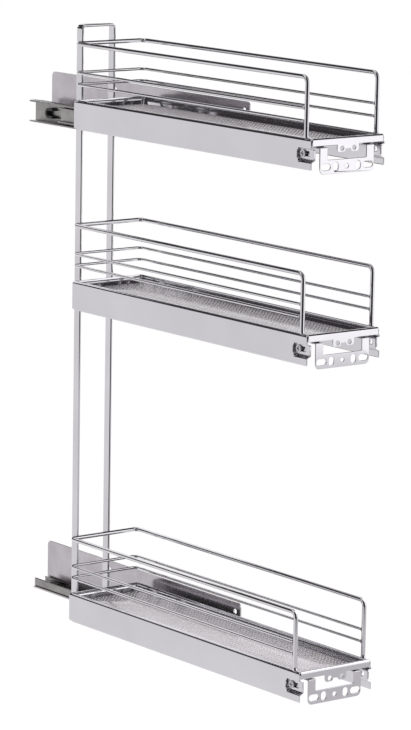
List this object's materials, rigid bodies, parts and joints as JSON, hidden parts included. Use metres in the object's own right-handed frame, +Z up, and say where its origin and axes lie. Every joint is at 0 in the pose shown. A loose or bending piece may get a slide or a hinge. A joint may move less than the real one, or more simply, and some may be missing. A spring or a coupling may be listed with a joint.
{
  "type": "base cabinet pull-out organizer",
  "caption": "Narrow cabinet pull-out with chromed sheet trays and wire guard rails on an upright frame, running on side-mounted ball slides behind a door front.",
  "frame": {"origin": "centre of the lower bracket's two wall screw holes, on the face that lies against the cabinet's side wall", "axes": "+Z up, -Y the way the trays come out of the cabinet, +X sideways into the wall that carries the unit"},
  "size_m": [0.1172, 0.6664, 0.7369],
  "materials": {
    "chromed_sheet": "bright chrome plate on deep drawn and folded steel sheet",
    "chromed_wire": "bright chrome plate on drawn steel wire",
    "chromed_bar": "bright chrome plate on flat steel bar",
    "chromed_screw": "bright plated steel",
    "plated_bracket": "zinc plated folded steel, softly reflecting",
    "slide_steel": "zinc plated rolled steel",
    "cage_steel": "bare steel strip, oiled",
    "ball_steel": "polished hardened steel",
    "rivet_steel": "zinc plated steel",
    "buffer_plastic": "black moulded plastic",
    "tray_mat": "grey lining with a fine dotted relief"
  },
  "bodies": {
    "root": {"upper_wall_bracket": "plated_bracket", "lower_wall_bracket": "plated_bracket", "upper_cabinet_rail": "slide_steel", "lower_cabinet_rail": "slide_steel", "upper_rear_buffer": "buffer_plastic", "lower_rear_buffer": "buffer_plastic", "upper_slide_rivets": "rivet_steel", "lower_slide_rivets": "rivet_steel"},
    "upper_middle": {"upper_middle_rail": "slide_steel"},
    "lower_middle": {"lower_middle_rail": "slide_steel"},
    "upper_outer_cage": {"upper_outer_ball_cage": "cage_steel", "upper_outer_balls": "ball_steel"},
    "lower_outer_cage": {"lower_outer_ball_cage": "cage_steel", "lower_outer_balls": "ball_steel"},
    "upper_inner_cage": {"upper_inner_ball_cage": "cage_steel", "upper_inner_balls": "ball_steel"},
    "lower_inner_cage": {"lower_inner_ball_cage": "cage_steel", "lower_inner_balls": "ball_steel"},
    "carriage": {"bottom_clamp_tongues": "chromed_sheet", "bottom_door_bracket": "chromed_sheet", "bottom_front_rail": "chromed_sheet", "bottom_guard_rail": "chromed_wire", "bottom_low_wire": "chromed_wire", "bottom_mid_wire": "chromed_wire", "bottom_tray_hanger": "chromed_sheet", "bottom_tray_mat": "tray_mat", "bottom_tray_shell": "chromed_sheet", "clamp_screws": "chromed_screw", "door_bracket_rivets": "rivet_steel", "hanger_rivets": "rivet_steel", "hanger_screws": "chromed_screw", "lower_carriage_angle": "plated_bracket", "lower_carriage_rivets": "rivet_steel", "lower_drawer_rail": "slide_steel", "middle_clamp_tongues": "chromed_sheet", "middle_door_bracket": "chromed_sheet", "middle_front_rail": "chromed_sheet", "middle_guard_rail": "chromed_wire", "middle_low_wire": "chromed_wire", "middle_mid_wire": "chromed_wire", "middle_tray_hanger": "chromed_sheet", "middle_tray_mat": "tray_mat", "middle_tray_shell": "chromed_sheet", "rear_frame": "chromed_bar", "top_clamp_tongues": "chromed_sheet", "top_door_bracket": "chromed_sheet", "top_front_rail": "chromed_sheet", "top_guard_rail": "chromed_wire", "top_low_wire": "chromed_wire", "top_mid_wire": "chromed_wire", "top_tray_hanger": "chromed_sheet", "top_tray_mat": "tray_mat", "top_tray_shell": "chromed_sheet", "upper_carriage_angle": "plated_bracket", "upper_carriage_rivets": "rivet_steel", "upper_drawer_rail": "slide_steel"}
  },
  "joints": [
    {"name": "middle_rail_slide", "type": "slide", "parent": "root", "child": "upper_middle", "axis": [0, -1, 0], "range_m": [-0.015, 0.17]},
    {"name": "pull_out", "type": "slide", "parent": "upper_middle", "child": "carriage", "axis": [0, -1, 0], "range_m": [-0.215, 0]},
    {"name": "lower_middle_slide", "type": "slide", "parent": "root", "child": "lower_middle", "axis": [0, -1, 0], "range_m": [-0.015, 0.17]},
    {"name": "upper_outer_cage_roll", "type": "slide", "parent": "root", "child": "upper_outer_cage", "axis": [0, -1, 0], "range_m": [-0.0075, 0.085]},
    {"name": "lower_outer_cage_roll", "type": "slide", "parent": "root", "child": "lower_outer_cage", "axis": [0, -1, 0], "range_m": [-0.0075, 0.085]},
    {"name": "upper_inner_cage_roll", "type": "slide", "parent": "upper_middle", "child": "upper_inner_cage", "axis": [0, -1, 0], "range_m": [-0.1075, 0]},
    {"name": "lower_inner_cage_roll", "type": "slide", "parent": "lower_middle", "child": "lower_inner_cage", "axis": [0, -1, 0], "range_m": [-0.1075, 0]}
  ],
  "couplings": [
    {"joint": "lower_middle_slide", "follows": "middle_rail_slide", "ratio": 1},
    {"joint": "upper_outer_cage_roll", "follows": "middle_rail_slide", "ratio": 0.5},
    {"joint": "lower_outer_cage_roll", "follows": "middle_rail_slide", "ratio": 0.5},
    {"joint": "upper_inner_cage_roll", "follows": "pull_out", "ratio": 0.5},
    {"joint": "lower_inner_cage_roll", "follows": "pull_out", "ratio": 0.5}
  ]
}
